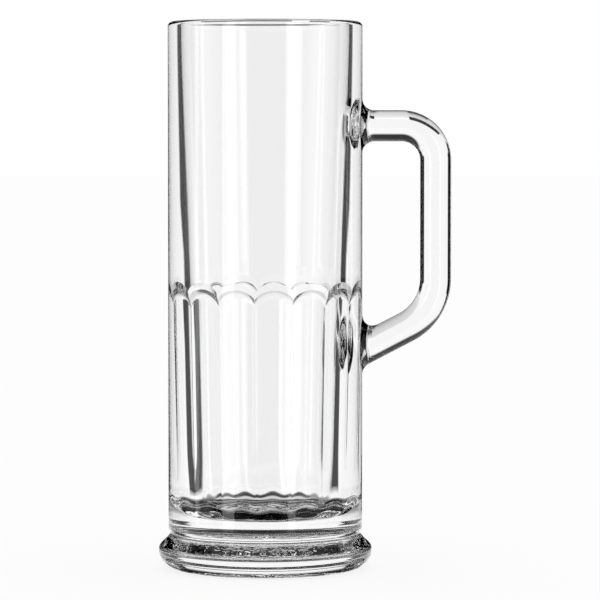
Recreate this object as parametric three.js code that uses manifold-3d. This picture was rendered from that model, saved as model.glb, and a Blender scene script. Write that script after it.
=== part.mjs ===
// Tall straight-sided glass mug: bowl with a panelled bore, flared foot, rod handle
// Millimetres, +Z up. The bowl's axis is Z, the table is z = 0 and the handle lies along +X.
import * as THREE from 'three';
import { mergeVertices } from 'three/addons/utils/BufferGeometryUtils.js';
import Module from 'manifold-3d';

// Bowl, outside
const HEIGHT = 122;
const BODY_R = 21.65;
const WAIST_Z = 8.7;
const WAIST_DEPTH = 0.45;
const WAIST_RISE = 2.8;
const WAIST_R = BODY_R - WAIST_DEPTH;

// Bowl, inside
const RIM_WALL = 2.9;
const BORE_DRAFT = 0.034;
const FLOOR_THICKNESS = 2.9;
const FLOOR_CORNER_R = 5.4;
const LIP_R = RIM_WALL / 2;
const BORE_TOP_R = BODY_R - RIM_WALL;
const FLOOR_Z = WAIST_Z + FLOOR_THICKNESS;

// Panels: raised flats with arched tops round the lower half of the bore
const PANEL_COUNT = 13;
const PANEL_TURN = 0;
const PANEL_RISE = 51.1;
const PANEL_ARCH_RISE = 3.2;
const PANEL_STEP = 0.8;
const PANEL_DRAFT = 0.029;
const SHOULDER_HEIGHT = 2.0;
const SHOULDER_DEPTH = PANEL_STEP + 0.3;
const PANEL_APEX_Z = FLOOR_Z + PANEL_RISE;

// Foot
const FOOT_FLARE = 2.22;
const FOOT_ROLL = 4.47;
const FOOT_WIDEST_Z = 4.4;
const FOOT_R = BODY_R + FOOT_FLARE;
const BEARING_R = FOOT_R - FOOT_ROLL;

// Handle: level top arm, upright grip, sloping lower arm
const ROD_R = 3.45;
const TOP_ARM_DROP = 23.2;
const ROOT_SPAN = 50;
const GRIP_REACH = 16.35;
const TOP_BEND_R = 7.6;
const LOWER_BEND_R = 12.3;
const LOWER_SLOPE = THREE.MathUtils.degToRad(27.5);
const ROOT_FILLET = 2.7;
const WELD_GAP = 0.3;
const TOP_ARM_Z = HEIGHT - TOP_ARM_DROP;
const LOWER_ROOT_Z = TOP_ARM_Z - ROOT_SPAN;
const GRIP_X = BODY_R + GRIP_REACH;

const ROUND = 96;
const wasm = await Module();
wasm.setup();

// Boolean helpers
function toSolid(geometry) {
  const bare = geometry.clone();
  bare.deleteAttribute('normal');
  bare.deleteAttribute('uv');
  const merged = mergeVertices(bare, 1e-4);
  const vertProperties = Float32Array.from(merged.attributes.position.array);
  const triVerts = Uint32Array.from(merged.index.array);
  const mesh = new wasm.Mesh({ numProp: 3, vertProperties, triVerts });
  mesh.merge();
  return new wasm.Manifold(mesh);
}

function toGeometry(solid) {
  const mesh = solid.getMesh();
  const geometry = new THREE.BufferGeometry();
  const stride = mesh.numProp;
  const positions = new Float32Array(mesh.numVert * 3);
  for (let i = 0; i < mesh.numVert; i += 1) {
    positions[3 * i] = mesh.vertProperties[stride * i];
    positions[3 * i + 1] = mesh.vertProperties[stride * i + 1];
    positions[3 * i + 2] = mesh.vertProperties[stride * i + 2];
  }
  geometry.setAttribute('position', new THREE.BufferAttribute(positions, 3));
  geometry.setIndex(new THREE.BufferAttribute(Uint32Array.from(mesh.triVerts), 1));
  geometry.computeVertexNormals();
  return geometry;
}

// Profile helpers: points are (radius, height), the revolve ends up round Z
function revolve(points, segments = ROUND) {
  const profile = points.map(([r, z]) => new THREE.Vector2(r, z));
  const geometry = new THREE.LatheGeometry(profile, segments);
  geometry.rotateX(Math.PI / 2);
  return geometry;
}

function arc(cx, cz, rx, rz, from, to, steps) {
  const points = [];
  for (let i = 0; i <= steps; i += 1) {
    const a = THREE.MathUtils.degToRad(from + (to - from) * i / steps);
    points.push([cx + rx * Math.cos(a), cz + rz * Math.sin(a)]);
  }
  return points;
}

function swell(r0, z0, r1, z1, steps) {
  const points = [];
  for (let i = 0; i <= steps; i += 1) {
    const t = i / steps;
    const ease = 0.5 - 0.5 * Math.cos(Math.PI * t);
    points.push([r0 + (r1 - r0) * ease, z0 + (z1 - z0) * t]);
  }
  return points;
}

function boreRadius(z) {
  return BORE_TOP_R - BORE_DRAFT * (HEIGHT - LIP_R - z);
}

// Bowl: one revolved wall with a rounded lip, a drafted bore and a thick floor
function bowlWall() {
  const cornerZ = FLOOR_Z + FLOOR_CORNER_R;
  const cornerX = boreRadius(cornerZ) - FLOOR_CORNER_R;
  const lipZ = HEIGHT - LIP_R;
  const points = [
    [0, WAIST_Z],
    ...swell(WAIST_R, WAIST_Z, BODY_R, WAIST_Z + WAIST_RISE, 6),
    ...arc(BODY_R - LIP_R, lipZ, LIP_R, LIP_R, 0, 180, 10),
    ...arc(cornerX, cornerZ, FLOOR_CORNER_R, FLOOR_CORNER_R, 0, -90, 8),
    [0, FLOOR_Z],
  ];
  return toSolid(revolve(points));
}

// One panel: an arched window outline with a rolled-over shoulder, stood against the bore
function panelPad(index) {
  const topR = boreRadius(PANEL_APEX_Z) - PANEL_STEP;
  const halfWidth = topR * Math.tan(Math.PI / PANEL_COUNT) + 0.35;
  const springZ = PANEL_APEX_Z - SHOULDER_HEIGHT - PANEL_ARCH_RISE;
  const sillZ = FLOOR_Z + SHOULDER_HEIGHT - 1;
  const window = new THREE.Shape();
  window.moveTo(-halfWidth, sillZ - PANEL_APEX_Z);
  window.lineTo(halfWidth, sillZ - PANEL_APEX_Z);
  window.lineTo(halfWidth, springZ - PANEL_APEX_Z);
  window.absellipse(0, springZ - PANEL_APEX_Z, halfWidth, PANEL_ARCH_RISE, 0, Math.PI);
  const pad = new THREE.ExtrudeGeometry(window, {
    depth: 0.8,
    curveSegments: 8,
    bevelEnabled: true,
    bevelThickness: SHOULDER_DEPTH,
    bevelSize: SHOULDER_HEIGHT,
    bevelSegments: 4,
  });
  pad.translate(0, 0, SHOULDER_DEPTH);
  const turn = PANEL_TURN + index * 2 * Math.PI / PANEL_COUNT;
  const lean = Math.atan(PANEL_DRAFT);
  const outward = new THREE.Vector3(Math.cos(turn), Math.sin(turn), 0);
  const across = new THREE.Vector3(-Math.sin(turn), Math.cos(turn), 0);
  const up = new THREE.Vector3(0, 0, Math.cos(lean)).addScaledVector(outward, Math.sin(lean));
  const normal = new THREE.Vector3().crossVectors(across, up);
  const place = new THREE.Matrix4().makeBasis(across, up, normal);
  place.setPosition(outward.x * topR, outward.y * topR, PANEL_APEX_Z);
  pad.applyMatrix4(place);
  return toSolid(pad);
}

function bowl() {
  let glass = bowlWall();
  for (let i = 0; i < PANEL_COUNT; i += 1) {
    glass = glass.add(panelPad(i));
  }
  return toGeometry(glass);
}

// Foot: flat bearing face, rolled edge, flare up into the waist
function foot() {
  const roll = FOOT_R - BEARING_R;
  const points = [
    [0, 0],
    ...arc(BEARING_R, FOOT_WIDEST_Z, roll, FOOT_WIDEST_Z, -90, 0, 7),
    ...swell(FOOT_R, FOOT_WIDEST_Z, WAIST_R, WAIST_Z, 7).slice(1),
    [0, WAIST_Z],
  ];
  return mergeVertices(revolve(points));
}

// Handle centre line in the XZ plane, from the top root round to the lower root
function handlePath() {
  const points = [];
  const inside = BODY_R - 2;
  const put = (x, z) => points.push(new THREE.Vector3(x, 0, z));
  const topX = GRIP_X - TOP_BEND_R;
  for (let x = inside; x < topX - 0.5; x += 1.5) {
    put(x, TOP_ARM_Z);
  }
  for (let a = 90; a >= 0; a -= 7.5) {
    const t = THREE.MathUtils.degToRad(a);
    put(topX + TOP_BEND_R * Math.cos(t), TOP_ARM_Z - TOP_BEND_R + TOP_BEND_R * Math.sin(t));
  }
  const turn = Math.PI / 2 - LOWER_SLOPE;
  const endX = GRIP_X - LOWER_BEND_R + LOWER_BEND_R * Math.cos(turn);
  const endZ = LOWER_ROOT_Z + (endX - BODY_R) * Math.tan(LOWER_SLOPE);
  const bendZ = endZ + LOWER_BEND_R * Math.sin(turn);
  const gripTop = TOP_ARM_Z - TOP_BEND_R;
  for (let i = 1; i < 10; i += 1) {
    put(GRIP_X, gripTop + (bendZ - gripTop) * i / 10);
  }
  for (let i = 0; i <= 9; i += 1) {
    const t = turn * i / 9;
    put(GRIP_X - LOWER_BEND_R + LOWER_BEND_R * Math.cos(t), bendZ - LOWER_BEND_R * Math.sin(t));
  }
  for (let x = endX - 1.5; x > inside; x -= 1.5) {
    put(x, LOWER_ROOT_Z + (x - BODY_R) * Math.tan(LOWER_SLOPE));
  }
  return new THREE.CatmullRomCurve3(points, false, 'centripetal');
}

// Weld collar: the trumpet of glass where an arm spreads on to the wall.
// It is turned flat, then slanted to follow the arm and wrapped on to the round wall.
function weldCollar(z, slope) {
  const flare = ROD_R + ROOT_FILLET;
  const points = [[0, -3], [flare, -3]];
  for (let i = 0; i <= 6; i += 1) {
    const a = Math.PI / 2 * i / 6;
    points.push([flare - ROOT_FILLET * Math.sin(a), ROOT_FILLET * (1 - Math.cos(a))]);
  }
  points.push([ROD_R - 0.4, ROOT_FILLET + 0.2], [0, ROOT_FILLET + 0.2]);
  const geometry = revolve(points, 32);
  geometry.rotateY(Math.PI / 2);
  geometry.scale(1, 1, 1 / Math.cos(slope));
  const position = geometry.attributes.position;
  for (let i = 0; i < position.count; i += 1) {
    const x = position.getX(i);
    const y = position.getY(i);
    const sag = BODY_R - Math.sqrt(BODY_R * BODY_R - y * y);
    position.setX(i, BODY_R + x - sag);
    position.setZ(i, z + position.getZ(i) + x * Math.tan(slope));
  }
  return toSolid(geometry);
}

function handle() {
  const section = new THREE.Shape();
  section.absarc(0, 0, ROD_R, 0, 2 * Math.PI);
  const rod = new THREE.ExtrudeGeometry(section, {
    steps: 64,
    curveSegments: 14,
    bevelEnabled: false,
    extrudePath: handlePath(),
  });
  const clearance = new THREE.CylinderGeometry(BODY_R + WELD_GAP, BODY_R + WELD_GAP, HEIGHT, ROUND * 2);
  clearance.rotateX(Math.PI / 2);
  clearance.translate(0, 0, HEIGHT / 2);
  const glass = toSolid(rod)
    .add(weldCollar(TOP_ARM_Z, 0))
    .add(weldCollar(LOWER_ROOT_Z, LOWER_SLOPE))
    .subtract(toSolid(clearance));
  return toGeometry(glass);
}

// Assembly
const clear = new THREE.MeshStandardMaterial({ color: 0xe9eef0, roughness: 0.04, metalness: 0 });
const group = new THREE.Group();
group.name = 'glass_mug';
for (const [name, geometry] of [['bowl', bowl()], ['foot', foot()], ['handle', handle()]]) {
  const mesh = new THREE.Mesh(geometry, clear);
  mesh.name = name;
  group.add(mesh);
}

export default group;
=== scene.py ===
# %% [markdown]
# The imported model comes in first, as a fixed frame. It has three glass pieces: bowl, foot and handle.
# Everything that follows is made in the same place and the same size, and rides on its one body.

# %% Load the frame
import math

import bmesh
import bpy
from mathutils import Matrix, Vector


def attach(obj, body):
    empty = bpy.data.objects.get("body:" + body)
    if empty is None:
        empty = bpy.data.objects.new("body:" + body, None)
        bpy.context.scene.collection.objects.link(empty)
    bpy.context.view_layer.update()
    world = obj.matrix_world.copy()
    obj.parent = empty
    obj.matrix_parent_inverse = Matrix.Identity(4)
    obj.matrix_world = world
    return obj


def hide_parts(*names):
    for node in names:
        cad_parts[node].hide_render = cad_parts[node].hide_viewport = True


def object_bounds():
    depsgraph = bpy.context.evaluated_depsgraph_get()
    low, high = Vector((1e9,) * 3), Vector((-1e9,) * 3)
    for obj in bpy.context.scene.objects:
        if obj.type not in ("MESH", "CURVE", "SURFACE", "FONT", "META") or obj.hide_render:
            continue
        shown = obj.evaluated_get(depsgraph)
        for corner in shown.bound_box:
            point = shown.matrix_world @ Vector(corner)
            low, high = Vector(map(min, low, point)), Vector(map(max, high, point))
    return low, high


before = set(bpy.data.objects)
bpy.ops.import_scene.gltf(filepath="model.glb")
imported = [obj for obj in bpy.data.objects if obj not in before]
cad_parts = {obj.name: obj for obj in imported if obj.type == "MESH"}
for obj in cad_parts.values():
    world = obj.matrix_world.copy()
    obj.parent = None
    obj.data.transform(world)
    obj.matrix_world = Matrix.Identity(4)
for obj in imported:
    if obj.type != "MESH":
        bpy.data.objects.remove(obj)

CAD_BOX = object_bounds()
scene = bpy.context.scene
MM = 0.001
print("nodes", sorted(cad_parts), "box in mm", [round(v / MM, 2) for c in CAD_BOX for v in c])

# %% [markdown]
# On the real mug the three pieces are fused while the glass is hot. Light passes from one into the
# next without meeting a surface. So the glass is drawn here as one closed skin: a joint left inside
# it would shine like a mirror. The skin starts as half a cross-section, from the middle of the
# underside, out over the foot, up the wall, over the lip and down the bore to its floor. The bore is
# almost straight under the lip and tapers further down.

# %% Sizes of the glass, in millimetres
HEIGHT = round(CAD_BOX[1][2] / MM, 2)
BODY_R = 21.65
WAIST_Z = 8.15
WAIST_R = 21.3
WAIST_RISE = 0.9
FOOT_R = round(CAD_BOX[1][1] / MM, 2)
FOOT_WIDEST_Z = 4.4
BEARING_R = 19.4
HOLLOW_R = 18.2
HOLLOW_DEPTH = 1.0
LIP_R = 1.45
LIP_RISE = 1.1
LIP_Z = HEIGHT - LIP_RISE
BORE_TOP_R = BODY_R - 2 * LIP_R
BORE_DRAFT = 0.04
BORE_STRAIGHT = 10.0
FLOOR_Z = 11.6
FLOOR_CORNER_R = 5.4
COLUMNS = 260


def bore_cone(z):
    depth = LIP_Z - z
    return BORE_TOP_R - BORE_DRAFT * depth * depth / (depth + BORE_STRAIGHT)


def arc(cx, cz, rx, rz, start, end, steps):
    angles = [math.radians(start + (end - start) * i / steps) for i in range(steps + 1)]
    return [(cx + rx * math.cos(a), cz + rz * math.sin(a)) for a in angles]


def ease(r0, z0, r1, z1, steps):
    curve = [(i / steps, 0.5 - 0.5 * math.cos(math.pi * i / steps)) for i in range(steps + 1)]
    return [(r0 + (r1 - r0) * e, z0 + (z1 - z0) * t) for t, e in curve]


def spread(first, last, steps):
    return [first + (last - first) * i / steps for i in range(steps + 1)]


def clamp(value, low=0.0):
    return min(max(value, low), 1.0)


corner_z = FLOOR_Z + FLOOR_CORNER_R
corner_x = bore_cone(corner_z) - FLOOR_CORNER_R
print("height", HEIGHT, "foot radius", FOOT_R, "bore radius at the lip", round(BORE_TOP_R, 2))

# %% [markdown]
# The handle will be let into the wall through two windows. The wall needs rows of faces there that
# are about as tall as its columns are wide, so that the windows have square, even borders. Smooth
# shading bends light wherever a flat row meets a curve. Two thin guard rows beside the groove and
# the lip keep that bend out of the tall rows, so the wall stays clear.

# %% Rows of the outer wall
TOP_ARM_Z = 98.8
LOWER_ROOT_Z = 48.8
WINDOW_COLUMNS = 11
TOP_WINDOW_REACH = 6.3
LOWER_WINDOW_REACH = (6.4, 9.4)
TOP_WINDOW = (TOP_ARM_Z - TOP_WINDOW_REACH, TOP_ARM_Z + TOP_WINDOW_REACH)
LOWER_WINDOW = (LOWER_ROOT_Z - LOWER_WINDOW_REACH[0], LOWER_ROOT_Z + LOWER_WINDOW_REACH[1])
GUARD = (0.05, 0.2)
groove_top = WAIST_Z + WAIST_RISE
wall_rows = (
    [groove_top + GUARD[0]]
    + spread(groove_top + GUARD[1], LOWER_WINDOW[0], 8)
    + spread(*LOWER_WINDOW, 2 * WINDOW_COLUMNS)[1:]
    + spread(LOWER_WINDOW[1], TOP_WINDOW[0], 8)[1:]
    + spread(*TOP_WINDOW, 2 * WINDOW_COLUMNS)[1:]
    + spread(TOP_WINDOW[1], LIP_Z - GUARD[1], 6)[1:]
    + [LIP_Z - GUARD[0]]
)
print("wall rows", len(wall_rows))

# %% [markdown]
# Round the lower half of the bore the plunger has pressed raised panels with arched tops. Their
# edges are crisp, so the rows of the bore are set close together at the arch: a few on the bevel over
# the edge, twelve down the rolled shoulder, and some more above and below, which will be bent to
# follow the arch, less and less the further they are from it.

# %% Rows of the bore
PANEL_APEX_Z = 62.9
BEVEL = 1.4
SHOULDER = 2.2
BENT_ABOVE = 8.0
BENT_BELOW = 9.0
APEX_GUARD = 0.08
EDGE_GUARD = 0.1
BEVEL_INSET = 0.3
FULLY_BENT = 0.4
bevel_top = PANEL_APEX_Z + BEVEL
shoulder_foot = PANEL_APEX_Z - SHOULDER
bent_top = PANEL_APEX_Z + BENT_ABOVE
bent_foot = shoulder_foot - BENT_BELOW
bore_rows = (
    [LIP_Z - GUARD[0]]
    + spread(LIP_Z - GUARD[1], bent_top, 20)
    + spread(bent_top, bevel_top + FULLY_BENT, 10)[1:]
    + [bevel_top + EDGE_GUARD, bevel_top, bevel_top - EDGE_GUARD]
    + spread(bevel_top - BEVEL_INSET, PANEL_APEX_Z + BEVEL_INSET, 4)
    + [PANEL_APEX_Z + APEX_GUARD, PANEL_APEX_Z]
    + spread(PANEL_APEX_Z, shoulder_foot, 12)[1:]
    + [shoulder_foot - EDGE_GUARD]
    + spread(shoulder_foot - FULLY_BENT, bent_foot, 10)
    + spread(bent_foot, corner_z, 12)[1:-1]
)
print("bore rows", len(bore_rows))

# %% [markdown]
# A spin carries the cross-section once round the axis. It is the lathe of bmesh, and like the real
# mould it gives a true round. The ends on the axis close to a point when the doubles are merged. The
# layers are spare numbers on each point, which the welds of the handle will use. A new layer moves
# the ones made before it, so they are looked up when all of them are there.

# %% Spin the cross-section
FLOOR_RINGS = (0.85, 0.65, 0.45, 0.25, 0.1, 0.0)
LAYERS = ("wall_y", "wall_z", "root_y", "root_z", "reach")
section = arc(0.0, 0.0, HOLLOW_R, HOLLOW_DEPTH, 90, 0, 30)
section += [(r, 0.0) for r in spread(HOLLOW_R, BEARING_R, 4)[1:-1]]
section += arc(BEARING_R, FOOT_WIDEST_Z, FOOT_R - BEARING_R, FOOT_WIDEST_Z, -90, 0, 18)
section += ease(FOOT_R, FOOT_WIDEST_Z, WAIST_R, WAIST_Z, 18)[1:]
groove = [(t, math.cos(0.5 * math.pi * t)) for t in spread(0.0, 1.0, 12)[1:]]
section += [(BODY_R - (BODY_R - WAIST_R) * depth, WAIST_Z + WAIST_RISE * t) for t, depth in groove]
section += [(BODY_R, z) for z in wall_rows]
section += arc(BODY_R - LIP_R, LIP_Z, LIP_R, LIP_RISE, 0, 180, 24)
section += [(bore_cone(z), z) for z in bore_rows]
section += arc(corner_x, corner_z, FLOOR_CORNER_R, FLOOR_CORNER_R, 0, -90, 18)
section += [(corner_x * share, FLOOR_Z) for share in FLOOR_RINGS]

glass = bmesh.new()
for name in LAYERS:
    glass.verts.layers.float.new(name)
layer = {name: glass.verts.layers.float[name] for name in LAYERS}
points = [glass.verts.new((r, 0.0, z)) for r, z in section]
edges = [glass.edges.new(pair) for pair in zip(points, points[1:])]
bmesh.ops.spin(glass, geom=points + edges, cent=(0, 0, 0), axis=(0, 0, 1), dvec=(0, 0, 0),
               angle=2 * math.pi, steps=COLUMNS, use_merge=True, use_duplicate=False)
bmesh.ops.remove_doubles(glass, verts=glass.verts, dist=1e-4)
bmesh.ops.recalc_face_normals(glass, faces=glass.faces)
print("spun", len(glass.faces), "faces, open edges", sum(e.is_boundary for e in glass.edges))

# %% [markdown]
# The panels could be cut with a boolean, but its long thin triangles would show in clear glass.
# Moving the rows that are already there keeps the faces even: first each row near the arch is bent
# to follow it, then every point is pressed in or out to the panel's own surface. The columns are
# bunched towards the ridges between the panels, and the corner of the floor gets a slight wave.

# %% Press the panels
PANELS = 13
PITCH = 2 * math.pi / PANELS
ARCH_RISE = 3.4
ARCH_FULLNESS = 0.93
BEVEL_SLOPE = 0.22
PANEL_STEP = 0.85
PANEL_DRAFT = 0.029
FLUTE_HOLLOW = 0.5
FLUTE_FADE = 8.0
FLUTE_AT_FLOOR = 0.3
BUNCHING = 0.05
BUNCHED_ABOVE = 20.0
FLOOR_WAVE = 0.3
NEAR = 0.1


def from_panel_middle(angle):
    return (angle + PITCH / 2) % PITCH - PITCH / 2


def arch_drop(across):
    u = min(abs(across) / (PITCH / 2), 1.0)
    return ARCH_RISE * (1 - math.sqrt(1 - (ARCH_FULLNESS * u) ** 2))


def arch_share(z):
    above = (z - bevel_top - FULLY_BENT) / (BENT_ABOVE - BEVEL - FULLY_BENT)
    below = (shoulder_foot - FULLY_BENT - z) / (BENT_BELOW - FULLY_BENT)
    t = clamp(max(above, below))
    return 1 - t * t * (3 - 2 * t)


def panel_radius(z, across):
    middle = bore_cone(PANEL_APEX_Z) - PANEL_STEP - PANEL_DRAFT * (PANEL_APEX_Z - z)
    hollow = FLUTE_HOLLOW * clamp((z - corner_z) / FLUTE_FADE, FLUTE_AT_FLOOR)
    return middle * (1 - hollow * (1 / math.cos(across) - 1))


def pressed_radius(z, across, row):
    bevel = BEVEL_SLOPE * BEVEL * clamp((bevel_top - row) / BEVEL)
    rolled = 1 - (1 - clamp((PANEL_APEX_Z - row) / SHOULDER)) ** 2
    edge = bore_cone(z) - bevel
    return edge + (panel_radius(z, across) - edge) * rolled


for v in glass.verts:
    radius = math.hypot(v.co.x, v.co.y)
    row = v.co.z
    in_bore = NEAR < radius < BORE_TOP_R + NEAR and FLOOR_Z - NEAR < row < LIP_Z + NEAR
    if not in_bore:
        continue
    angle = math.atan2(v.co.y, v.co.x)
    bunched = clamp((PANEL_APEX_Z + BUNCHED_ABOVE - row) / (BUNCHED_ABOVE - BENT_ABOVE))
    angle += BUNCHING * bunched * math.sin(PANELS * from_panel_middle(angle))
    across = from_panel_middle(angle)
    if row > corner_z:
        v.co.z = row - arch_drop(across) * arch_share(row)
        new_radius = pressed_radius(v.co.z, across, row)
    else:
        new_radius = radius * panel_radius(corner_z, across) / bore_cone(corner_z)
        round_the_corner = min((corner_z - row) / FLOOR_CORNER_R, radius / corner_x, 1.0)
        v.co.z += FLOOR_WAVE * math.sin(math.pi * round_the_corner) * math.cos(PANELS * across)
    v.co.x, v.co.y = new_radius * math.cos(angle), new_radius * math.sin(angle)
apex_step = bore_cone(PANEL_APEX_Z) - panel_radius(PANEL_APEX_Z, 0)
print("panels", PANELS, "step at the apex", round(apex_step, 2))

# %% [markdown]
# The handle is a round rod, bent hot. It starts as a circle of points: extrude draws the straight
# arms and spin draws the bends, just as the rod was drawn and bent.

# %% Draw the rod
ROD_R = 3.45
ROD_SIDES = 8 * WINDOW_COLUMNS
GRIP_REACH = 16.35
GRIP_X = BODY_R + GRIP_REACH
TOP_BEND_R = 7.6
LOWER_BEND_R = 12.3
LOWER_SLOPE = math.radians(27.5)
TOP_REACH = 4.2
LOWER_REACH = 5.6
BEND_STEPS = 22


def draw(loop, move, steps):
    for _ in range(steps):
        made = bmesh.ops.extrude_edge_only(glass, edges=loop)["geom"]
        corners = [g for g in made if isinstance(g, bmesh.types.BMVert)]
        bmesh.ops.translate(glass, vec=Vector(move) / steps, verts=corners)
        loop = [g for g in made if isinstance(g, bmesh.types.BMEdge) and g.is_boundary]
    return loop


def bend(loop, centre, angle):
    made = bmesh.ops.spin(glass, geom=loop, cent=centre, axis=(0, 1, 0), dvec=(0, 0, 0), angle=angle,
                          steps=BEND_STEPS, use_merge=False, use_duplicate=False)["geom_last"]
    return [g for g in made if isinstance(g, bmesh.types.BMEdge)]


at_top_root = Matrix.Translation((BODY_R + TOP_REACH, 0, TOP_ARM_Z)) @ Matrix.Rotation(math.pi / 2, 4, "Y")
bmesh.ops.create_circle(glass, cap_ends=False, radius=ROD_R, segments=ROD_SIDES, matrix=at_top_root)
top_end = [e for e in glass.edges if e.is_wire]
bend_x = GRIP_X - TOP_BEND_R
loop = draw(top_end, (bend_x - BODY_R - TOP_REACH, 0, 0), 3)
loop = bend(loop, (bend_x, 0, TOP_ARM_Z - TOP_BEND_R), math.pi / 2)
turn = math.pi / 2 - LOWER_SLOPE
lower_x = GRIP_X - LOWER_BEND_R + LOWER_BEND_R * math.cos(turn)
lower_z = LOWER_ROOT_Z + (lower_x - BODY_R) * math.tan(LOWER_SLOPE)
bend_z = lower_z + LOWER_BEND_R * math.sin(turn)
loop = draw(loop, (0, 0, bend_z - TOP_ARM_Z + TOP_BEND_R), 6)
loop = bend(loop, (GRIP_X - LOWER_BEND_R, 0, bend_z), turn)
run = lower_x - BODY_R - LOWER_REACH
lower_end = draw(loop, (-run, 0, -run * math.tan(LOWER_SLOPE)), 2)
print("rod ends", len(top_end), len(lower_end), "grip at x", GRIP_X)

# %% [markdown]
# Each arm spreads into the wall in a soft fillet. A window is opened in the wall, its border is
# bridged to the end of the rod, and the bridge is cut into many rings. Every ring is then laid on
# a curve that leaves the wall smoothly and runs out along the arm. Cutting a bridge also shares out
# the numbers in the layers, so each new point knows how far along the bridge it lies.

# %% Open the windows and bridge them
TOP_FILLET = (2.8, 2.8)
LOWER_FILLET = (4.4, 1.6)
FILLET_LIMIT = 0.9
WELD_RINGS = 15
WALL_SHARE = 0.25
CORNER_PULL = 0.75


def open_window(low, high):
    half_angle = WINDOW_COLUMNS * 2 * math.pi / COLUMNS

    def in_window(face):
        x, y, z = face.calc_center_median()
        on_wall = abs(math.hypot(x, y) - BODY_R) < NEAR
        return on_wall and low < z < high and abs(math.atan2(y, x)) < half_angle

    inside = [f for f in glass.faces if in_window(f)]
    border = dict.fromkeys(e for f in inside for e in f.edges)
    bmesh.ops.delete(glass, geom=inside, context="FACES")
    return [e for e in border if e.is_valid and e.is_boundary]


def wall_x(y):
    return math.sqrt(BODY_R ** 2 - y * y)


def fillet_point(start, corner, along, fillet, reach):
    outward = Vector((0, start.y - corner.y, start.z - corner.z))
    far = outward.length
    leave = corner + outward / far * min(fillet, FILLET_LIMIT * far)
    leave.x = wall_x(leave.y)
    arrive = corner + along * fillet
    if reach < WALL_SHARE:
        point = start.lerp(leave, reach / WALL_SHARE)
        point.x = wall_x(point.y)
        return point
    s = (reach - WALL_SHARE) / (1 - WALL_SHARE)
    w0, w1, w2 = (1 - s) ** 2, 2 * s * (1 - s) * CORNER_PULL, s * s
    return (leave * w0 + corner * w1 + arrive * w2) / (w0 + w1 + w2)


def weld(window, rod_end, slope, root_z, fillet_up, fillet_down):
    rim = {v for e in window for v in e.verts}
    along = Vector((math.cos(slope), 0, math.sin(slope)))
    made = bmesh.ops.bridge_loops(glass, edges=window + rod_end)
    spokes = [e for e in made["edges"] if (e.verts[0] in rim) != (e.verts[1] in rim)]
    for e in spokes:
        on_wall, on_rod = e.verts if e.verts[0] in rim else reversed(e.verts)
        foot_z = on_rod.co.z - (on_rod.co.x - wall_x(on_rod.co.y)) * math.tan(slope)
        for v in (on_wall, on_rod):
            v[layer["wall_y"]], v[layer["wall_z"]] = on_wall.co.y, on_wall.co.z
            v[layer["root_y"]], v[layer["root_z"]] = on_rod.co.y, foot_z
        on_wall[layer["reach"]], on_rod[layer["reach"]] = 0.0, 1.0
    bmesh.ops.subdivide_edges(glass, edges=spokes, cuts=WELD_RINGS, use_grid_fill=True)
    rings_and_rod = [v for v in glass.verts if v[layer["reach"]] > 0]
    for v in rings_and_rod:
        start = Vector((wall_x(v[layer["wall_y"]]), v[layer["wall_y"]], v[layer["wall_z"]]))
        corner = Vector((wall_x(v[layer["root_y"]]), v[layer["root_y"]], v[layer["root_z"]]))
        rise = 0.5 + 0.5 * (corner.z - root_z) / (ROD_R / math.cos(slope))
        fillet = fillet_down + (fillet_up - fillet_down) * clamp(rise)
        v.co = fillet_point(start, corner, along, fillet, v[layer["reach"]])
        v[layer["reach"]] = 0.0
    return len(rings_and_rod)


top_window = open_window(*TOP_WINDOW)
top_points = weld(top_window, top_end, 0.0, TOP_ARM_Z, *TOP_FILLET)
print("top window", len(top_window), "ring points", top_points)
lower_window = open_window(*LOWER_WINDOW)
lower_points = weld(lower_window, lower_end, LOWER_SLOPE, LOWER_ROOT_Z, *LOWER_FILLET)
print("lower window", len(lower_window), "ring points", lower_points)

# %% [markdown]
# The skin must be closed before it can be glass: one missing face and light would not know whether
# it is inside. The count of open edges below has to be nought.

# %% Make the object
bmesh.ops.recalc_face_normals(glass, faces=glass.faces)
bmesh.ops.scale(glass, vec=(MM, MM, MM), verts=glass.verts)
for f in glass.faces:
    f.smooth = True
open_edges = sum(not e.is_manifold for e in glass.edges)
print("mug skin", len(glass.faces), "faces, open edges", open_edges)
print("volume of the glass in ml", round(glass.calc_volume() * 1e6, 1))
for name in LAYERS:
    glass.verts.layers.float.remove(glass.verts.layers.float[name])
mesh = bpy.data.meshes.new("mug_glass")
glass.to_mesh(mesh)
glass.free()
mug = bpy.data.objects.new("mug_glass", mesh)
scene.collection.objects.link(mug)
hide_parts("bowl", "foot", "handle")
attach(mug, "root")

# %% [markdown]
# Materials are small graphs of nodes. The helpers below keep each line of such a graph short: one node,
# with the values and links of its sockets by name.


# %% Node helpers
def wire(tree, value, socket):
    if isinstance(value, bpy.types.NodeSocket):
        tree.links.new(value, socket)
    else:
        socket.default_value = value


def add(tree, kind, **inputs):
    node = tree.nodes.new("ShaderNode" + kind)
    for name, value in inputs.items():
        wire(tree, value, node.inputs[name.replace("_", " ")])
    return node


def maths(tree, operation, first, second=0.0):
    node = tree.nodes.new("ShaderNodeMath")
    node.operation = operation
    wire(tree, first, node.inputs[0])
    wire(tree, second, node.inputs[1])
    return node.outputs[0]


def fade(tree, value, limits, levels=(0.0, 1.0)):
    node = add(tree, "MapRange", Value=value, From_Min=limits[0], From_Max=limits[1],
               To_Min=levels[0], To_Max=levels[1])
    return node.outputs["Result"]


def from_middle(tree, place):
    node = tree.nodes.new("ShaderNodeVectorMath")
    node.operation = "LENGTH"
    wire(tree, place, node.inputs[0])
    return node.outputs["Value"]


def mix(tree, share, first, second):
    node = tree.nodes.new("ShaderNodeMixShader")
    for value, socket in zip((share, first.outputs[0], second.outputs[0]), node.inputs):
        wire(tree, value, socket)
    return node


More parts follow.
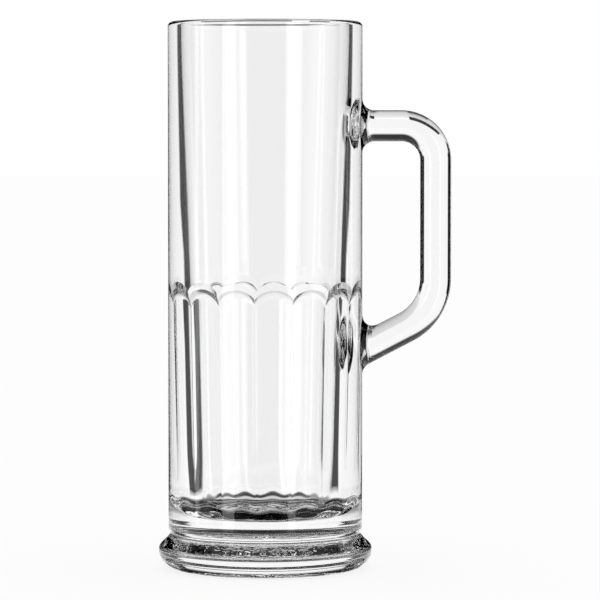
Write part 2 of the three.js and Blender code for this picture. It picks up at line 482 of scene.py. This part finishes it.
def tone_ramp(tree, position, stops, brightest):
    ramp = tree.nodes.new("ShaderNodeValToRGB")
    wire(tree, position, ramp.inputs["Fac"])
    marks = ramp.color_ramp.elements
    marks[0].position, marks[1].position = stops[0][0], stops[-1][0]
    for place, _ in stops[1:-1]:
        marks.new(place)
    for mark, (_, level) in zip(marks, stops):
        mark.color = (level / brightest,) * 3 + (1,)
    return maths(tree, "MULTIPLY", ramp.outputs["Color"], brightest)


def seen_by_glass(tree):
    path = tree.nodes.new("ShaderNodeLightPath")
    return maths(tree, "MAXIMUM", path.outputs["Is Glossy Ray"], path.outputs["Is Transmission Ray"])


# %% [markdown]
# The glass itself: clear soda-lime glass bends light by 1.52 and is as good as colourless. The mould is
# stippled where the mug stands, so that small scratches there do not show and start no cracks. The fine
# grain of it is too small to model, so a bump carries it. It covers the lowest millimetre or so, and is
# strongest in the middle of the hollow.

# %% Clear glass
STIPPLE_SCALE = 600
STIPPLE_DEPTH = 0.4 * MM
STIPPLE_TOP = 1.15 * MM
STIPPLE_BLEND = 0.2 * MM
STIPPLE_FADES = (10 * MM, 14 * MM)
STIPPLE_OUTSIDE = 0.25
clear_glass = bpy.data.materials.new("clear_glass")
clear_glass.use_nodes = True
tree = clear_glass.node_tree
shader = tree.nodes["Principled BSDF"]
shader.inputs["Base Color"].default_value = (1.0, 1.0, 1.0, 1.0)
shader.inputs["Roughness"].default_value = 0.0
shader.inputs["IOR"].default_value = 1.52
shader.inputs["Transmission Weight"].default_value = 1.0
place = add(tree, "TexCoord").outputs["Object"]
height = add(tree, "SeparateXYZ", Vector=place).outputs["Z"]
grain = add(tree, "TexNoise", Vector=place, Scale=STIPPLE_SCALE, Detail=1.0)
low_down = fade(tree, height, (STIPPLE_TOP, STIPPLE_TOP + STIPPLE_BLEND), (1.0, 0.0))
inner = fade(tree, from_middle(tree, place), STIPPLE_FADES, (1.0, STIPPLE_OUTSIDE))
depth = maths(tree, "MULTIPLY", low_down, inner)
stipple = add(tree, "Bump", Height=grain.outputs[0], Strength=depth, Distance=STIPPLE_DEPTH)
tree.links.new(stipple.outputs["Normal"], shader.inputs["Normal"])
mesh.materials.append(clear_glass)
print("stipple under", round(STIPPLE_TOP / MM, 2), "mm")

# %% [markdown]
# Clear glass has no look of its own: every edge shows some other part of the studio. White paper hangs
# behind the mug, and black cloth on both sides of it draws the dark lines in the walls. The cloths part
# higher up, so the paper is wider there. Tall lamps in front and at the left make the white stripes, and
# a dark ceiling draws the lip. Light that bounces straight off the outside does not see the paper, which
# gives the mug its dark outline. Only the glass sees all this: the camera itself sees plain white.

# %% Studio round the mug
LAMP = 2.4
STUDIO = [  # bearing from straight behind the mug, in degrees to the right, and brightness
    (-180, 0.02), (-160, 0.02), (-144, 0.2), (-143, LAMP), (-129, LAMP), (-128, 0.0), (-118, 0.0),
    (-110, 0.7), (-96, 0.7), (-95, LAMP), (-90, LAMP), (-89, 0.7), (-75, 0.6), (-66, 0.0),
    (75, 0.0), (79, 0.4), (143, 0.55), (144, LAMP), (152, LAMP), (153, 0.2), (162, 0.02), (180, 0.02),
]
PAPER_LOW = math.radians(37)
PAPER_HIGH = math.radians(43)
PAPER_FADE = math.radians(4)
CLOTHS_PART = (math.sin(math.radians(6)), math.sin(math.radians(7)))
CEILING = (math.sin(math.radians(20)), math.sin(math.radians(26)))
CEILING_TONE = 0.04

world = bpy.data.worlds.new("studio")
scene.world = world
world.use_nodes = True
tree = world.node_tree
tree.nodes.clear()
where = add(tree, "SeparateXYZ", Vector=add(tree, "TexCoord").outputs["Generated"])
bearing = maths(tree, "ARCTAN2", where.outputs["X"], where.outputs["Y"])
turn = maths(tree, "ADD", maths(tree, "DIVIDE", bearing, 2 * math.pi), 0.5)
around = tone_ramp(tree, turn, [(degrees / 360 + 0.5, level) for degrees, level in STUDIO], LAMP)
half_width = fade(tree, where.outputs["Z"], CLOTHS_PART, (PAPER_LOW, PAPER_HIGH))
past_edge = maths(tree, "SUBTRACT", maths(tree, "ABSOLUTE", bearing), half_width)
paper = fade(tree, past_edge, (0.0, PAPER_FADE), (1.0, 0.0))
path = add(tree, "LightPath")
not_yet_inside = maths(tree, "LESS_THAN", path.outputs["Transmission Depth"], 0.5)
bounced_off = maths(tree, "MULTIPLY", path.outputs["Is Glossy Ray"], not_yet_inside)
paper_seen = maths(tree, "MULTIPLY", paper, maths(tree, "SUBTRACT", 1.0, bounced_off))
ceiling = fade(tree, where.outputs["Z"], CEILING, (1.0, CEILING_TONE))
level = maths(tree, "MULTIPLY", maths(tree, "MAXIMUM", around, paper_seen), ceiling)
room = add(tree, "Background", Color=(1, 1, 1, 1), Strength=level)
plain = add(tree, "Background", Color=(1, 1, 1, 1), Strength=1.0)
studio = mix(tree, seen_by_glass(tree), plain, room)
tree.links.new(studio.outputs[0], add(tree, "OutputWorld").inputs["Surface"])
print("studio", len(STUDIO), "marks round the horizon")

# %% [markdown]
# The table is a glossy white sheet. Seen from above it is white, and at a low angle it mirrors the paper
# and the cloths, except close to the mug. For the glass, light and shade are painted into its glow. A
# painted shadow lies round the foot, where the mug keeps the light off, and the painted glow grows
# brighter further out. A painted dark strip close behind the mug draws the line above the floor of the
# bore. Two painted dark patches lie further back and draw the far side of the lip, with a gap between
# them behind the handle. A painted pool of light, for light that has come through the bottom of the
# mug, brightens the far half of the spot it stands on.

# %% Painted light and shade of the table
# Painted light and shade for the glass: a painted shadow round the foot, and a painted glow that grows
# brighter further out.
PAINTED_LIGHT_BESIDE = [  # distance from the mug's axis in metres, and brightness
    (0.0, 0.0), (0.04, 0.0), (0.06, 0.5), (0.1, 0.7), (0.185, 0.8), (0.31, 1.2), (0.5, 1.2),
]
# Painted shadow and, close behind the mug, a painted dark band on the strip.
PAINTED_LIGHT_BEHIND = [  # the same, on the strip behind the mug
    (0.0, 0.0), (0.039, 0.0), (0.043, 0.7), (0.047, 0.7), (0.05, 0.02), (0.07, 0.02),
    (0.12, 0.65), (0.19, 0.8), (0.31, 1.1), (0.5, 1.2),
]
TABLE_REACH = 0.5
BRIGHTEST = 1.2
STRIP_HALF_WIDTH = (21 * MM, 25 * MM)
# Painted dark patches on the table, seen only by the glass; they draw the far side of the lip.
PAINTED_PATCH_Y = (185 * MM, 460 * MM)
PAINTED_PATCH_HALF_WIDTH = 90 * MM
PAINTED_PATCH_GAP = (22 * MM, 43 * MM)
PAINTED_PATCH_TONE = 0.02
# A painted pool of light on the far half of the spot under the mug.
PAINTED_POOL_R = 18.5 * MM
PAINTED_POOL_EDGE = (-2 * MM, 8 * MM)
PAINTED_POOL_LEVEL = 0.9

table_white = bpy.data.materials.new("table_white")
table_white.use_nodes = True
tree = table_white.node_tree
tree.nodes.clear()
place = add(tree, "TexCoord").outputs["Object"]
spot = add(tree, "SeparateXYZ", Vector=place)
distance = from_middle(tree, place)


def tone_by_distance(stops):
    marks = [(metres / TABLE_REACH, tone) for metres, tone in stops]
    return tone_ramp(tree, maths(tree, "DIVIDE", distance, TABLE_REACH), marks, BRIGHTEST)


def between(value, limits):
    above = maths(tree, "GREATER_THAN", value, limits[0])
    return maths(tree, "MULTIPLY", above, maths(tree, "LESS_THAN", value, limits[1]))


# Painted pool of light, standing in for light that comes through the bottom of the mug.
under_mug = maths(tree, "LESS_THAN", distance, PAINTED_POOL_R)
far_half = fade(tree, spot.outputs["Y"], PAINTED_POOL_EDGE, (0.0, PAINTED_POOL_LEVEL))
painted_light_pool = maths(tree, "MULTIPLY", far_half, under_mug)
# The table's painted light and shade, as the glass sees it.
tone_beside = maths(tree, "ADD", tone_by_distance(PAINTED_LIGHT_BESIDE), painted_light_pool)
tone_behind = maths(tree, "ADD", tone_by_distance(PAINTED_LIGHT_BEHIND), painted_light_pool)
sheet_beside = add(tree, "Emission", Strength=tone_beside)
sheet_behind = add(tree, "Emission", Strength=tone_behind)
off_centre = maths(tree, "ABSOLUTE", spot.outputs["X"])
in_front = maths(tree, "LESS_THAN", spot.outputs["Y"], 0.0)
beside = maths(tree, "MAXIMUM", fade(tree, off_centre, STRIP_HALF_WIDTH), in_front)
# Painted dark patches, laid over the sheet's painted tones.
painted_dark_patch = add(tree, "Emission", Strength=PAINTED_PATCH_TONE)
off_gap = maths(tree, "SUBTRACT", 1.0, between(spot.outputs["X"], PAINTED_PATCH_GAP))
on_painted_patch = maths(tree, "MULTIPLY", between(spot.outputs["Y"], PAINTED_PATCH_Y), off_gap)
on_painted_patch = maths(tree, "MULTIPLY", on_painted_patch, maths(tree, "LESS_THAN", off_centre, PAINTED_PATCH_HALF_WIDTH))
sheet = mix(tree, on_painted_patch, mix(tree, beside, sheet_behind, sheet_beside), painted_dark_patch)
print("table tones", len(PAINTED_LIGHT_BESIDE), "beside the mug and", len(PAINTED_LIGHT_BEHIND), "behind it")

# %% [markdown]
# The sheet's gloss comes on top of these painted tones. The camera sees none of it, only white paper that
# takes a faint shadow.

# %% Gloss of the table
MIRROR_STARTS = (0.105, 0.125)
GLANCING = (0.67, 0.71)
GLOW = 0.85
TABLE_R = 6.0
TABLE_DROP = 0.1 * MM

mirror = add(tree, "BsdfGlossy", Color=(1, 1, 1, 1), Roughness=0.0)
glow = add(tree, "Emission", Strength=1.0)
glancing = mix(tree, fade(tree, distance, MIRROR_STARTS), glow, mirror)
low_angle = fade(tree, add(tree, "LayerWeight", Blend=0.5).outputs["Facing"], GLANCING)
for_glass = mix(tree, low_angle, sheet, glancing)
white = mix(tree, GLOW, add(tree, "BsdfDiffuse", Color=(0.9, 0.9, 0.9, 1)), glow)
table_top = mix(tree, seen_by_glass(tree), white, for_glass)
tree.links.new(table_top.outputs[0], add(tree, "OutputMaterial").inputs["Surface"])

round_top = bmesh.new()
bmesh.ops.create_circle(round_top, cap_ends=True, radius=TABLE_R, segments=64,
                        matrix=Matrix.Translation((0, 0, -TABLE_DROP)))
table_mesh = bpy.data.meshes.new("table")
round_top.to_mesh(table_mesh)
round_top.free()
table_mesh.materials.append(table_white)
table = bpy.data.objects.new("table", table_mesh)
scene.collection.objects.link(table)
print("table", round(table.dimensions.x, 1), "m wide")

# %% [markdown]
# The camera stands far off with a long lens, a little below the lip, so the walls look upright and the
# foot is seen from above. Its place is worked out from the picture: the column of the mug's axis, the
# row of the table under the axis and the row at the height of the eye. Its distance is in pixels too.

# %% Camera
PIXEL = 0.223 * MM
DISTANCE = 3600
PICTURE = 600
AXIS_COLUMN = 265.2
TABLE_ROW = 568.8
EYE_ROW = 123
camera_data = bpy.data.cameras.new("camera")
camera = bpy.data.objects.new("camera", camera_data)
scene.collection.objects.link(camera)
scene.camera = camera
camera_data.sensor_width = 36
camera_data.lens = camera_data.sensor_width * DISTANCE / PICTURE
camera_data.clip_start = 0.01
centre_x = (PICTURE / 2 - AXIS_COLUMN) * PIXEL
camera.location = (centre_x, -DISTANCE * PIXEL, (TABLE_ROW - EYE_ROW) * PIXEL)
aim = Vector((centre_x, 0, (TABLE_ROW - PICTURE / 2) * PIXEL))
camera.rotation_mode = "QUATERNION"
camera.rotation_quaternion = (aim - camera.location).to_track_quat("-Z", "Y")
print("camera", round(DISTANCE * PIXEL, 3), "m away, lens", camera_data.lens, "mm")

# %% [markdown]
# Light crosses many skins of the mug before it is lost, so it is given plenty of bounces.

# %% Finish
scene.view_settings.view_transform = "Standard"
scene.cycles.max_bounces = 24
scene.cycles.transmission_bounces = 24
scene.cycles.glossy_bounces = 16
